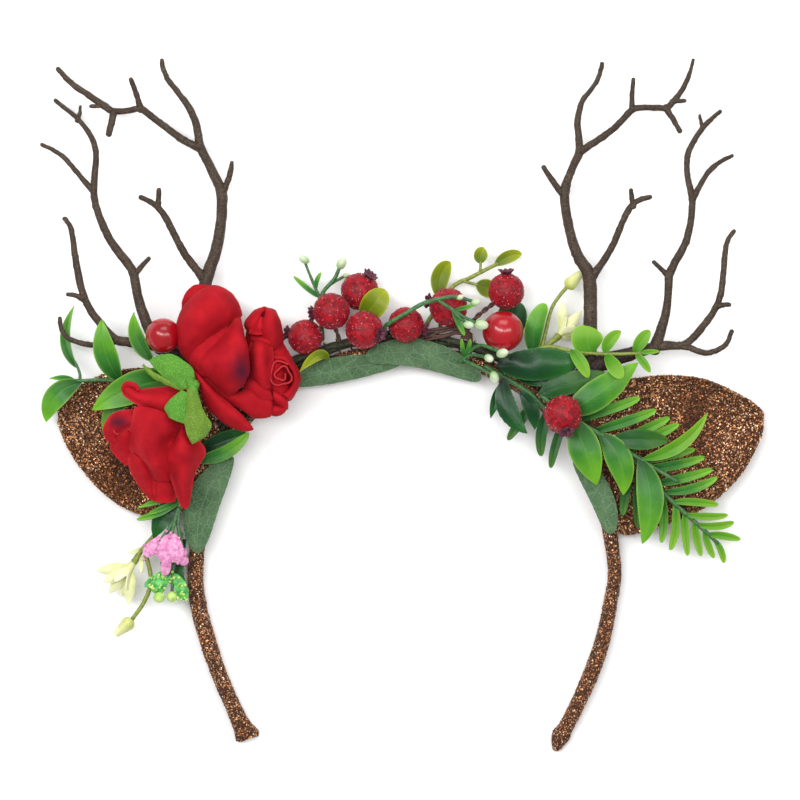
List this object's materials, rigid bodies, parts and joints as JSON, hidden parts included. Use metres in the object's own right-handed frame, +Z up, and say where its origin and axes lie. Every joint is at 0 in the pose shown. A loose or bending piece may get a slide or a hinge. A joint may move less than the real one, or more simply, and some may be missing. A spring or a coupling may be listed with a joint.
{
  "type": "reindeer antler headband with ears, roses and frosted berries",
  "caption": "Curved hair band with branching antlers, cupped ears, red roses, frosted berries and mixed greenery, lying on its back.",
  "frame": {"origin": "on the table, under the middle of the whole headband's bounding box", "axes": "+X to the right as the front is seen, +Y from the band's tips to the antlers, +Z up, out of the front of the flowers"},
  "size_m": [0.2613, 0.2501, 0.0337],
  "materials": {
    "antler": "dark brown, fine grained",
    "glitter_band": "copper glitter wrapping",
    "glitter_ear": "coarse copper glitter",
    "bound_stems": "dark floral tape",
    "rose_cloth": "velvet",
    "sepal_cloth": "woven",
    "velvet_leaf": "velvet with pale veins",
    "frosted_berry": "sugared",
    "glossy_berry": "lacquered",
    "leaf_plastic": "satin",
    "dark_leaf_plastic": "satin",
    "lime_leaf_plastic": "satin",
    "cream_plastic": "moulded",
    "pink_foam": "moulded",
    "green_foam": "moulded"
  },
  "bodies": {
    "root": {"headband": "glitter_band", "stem_bundle": "bound_stems", "antler_left": "antler", "antler_right": "antler", "ear_left": "glitter_ear", "ear_right": "glitter_ear", "rose_upper": "rose_cloth", "rose_right": "rose_cloth", "rose_lower": "rose_cloth", "rose_sepals": "sepal_cloth", "frosted_berry_1": "frosted_berry", "frosted_berry_2": "frosted_berry", "frosted_berry_3": "frosted_berry", "frosted_berry_4": "frosted_berry", "frosted_berry_5": "frosted_berry", "frosted_berry_6": "frosted_berry", "frosted_berry_7": "frosted_berry", "frosted_berry_8": "frosted_berry", "glossy_berry_1": "glossy_berry", "glossy_berry_2": "glossy_berry", "wrap_leaf_top_left": "velvet_leaf", "wrap_leaf_top_right": "velvet_leaf", "wrap_leaf_left": "velvet_leaf", "wrap_leaf_right": "velvet_leaf", "leaf_dark_upper": "dark_leaf_plastic", "leaf_dark_under": "dark_leaf_plastic", "leaf_dark_lower": "dark_leaf_plastic", "leaf_dark_inner": "dark_leaf_plastic", "leaf_dark_edge": "dark_leaf_plastic", "leaf_dark_low": "dark_leaf_plastic", "leaf_dark_tip": "dark_leaf_plastic", "leaf_dark_rose": "dark_leaf_plastic", "leaf_round_back": "dark_leaf_plastic", "leaf_upright": "leaf_plastic", "leaf_lime_middle": "lime_leaf_plastic", "leaf_lime_low": "lime_leaf_plastic", "leaf_lime_upright": "lime_leaf_plastic", "leaf_pointed_left": "leaf_plastic", "leaf_broad_left": "leaf_plastic", "leaf_behind_left": "leaf_plastic", "leaf_under_rose": "leaf_plastic", "laurel_sprig": "leaf_plastic", "fern_sprig": "leaf_plastic", "boxwood_sprig_right": "lime_leaf_plastic", "boxwood_sprig_left": "leaf_plastic", "lime_sprig": "lime_leaf_plastic", "pip_sprig_left": "cream_plastic", "pip_sprig_centre": "cream_plastic", "pip_sprig_lower": "cream_plastic", "lily_sprig_right": "cream_plastic", "lily_sprig_left": "cream_plastic", "grass_pick": "leaf_plastic", "pink_stamen_pick": "pink_foam", "green_stamen_pick": "green_foam"}
  },
  "joints": []
}
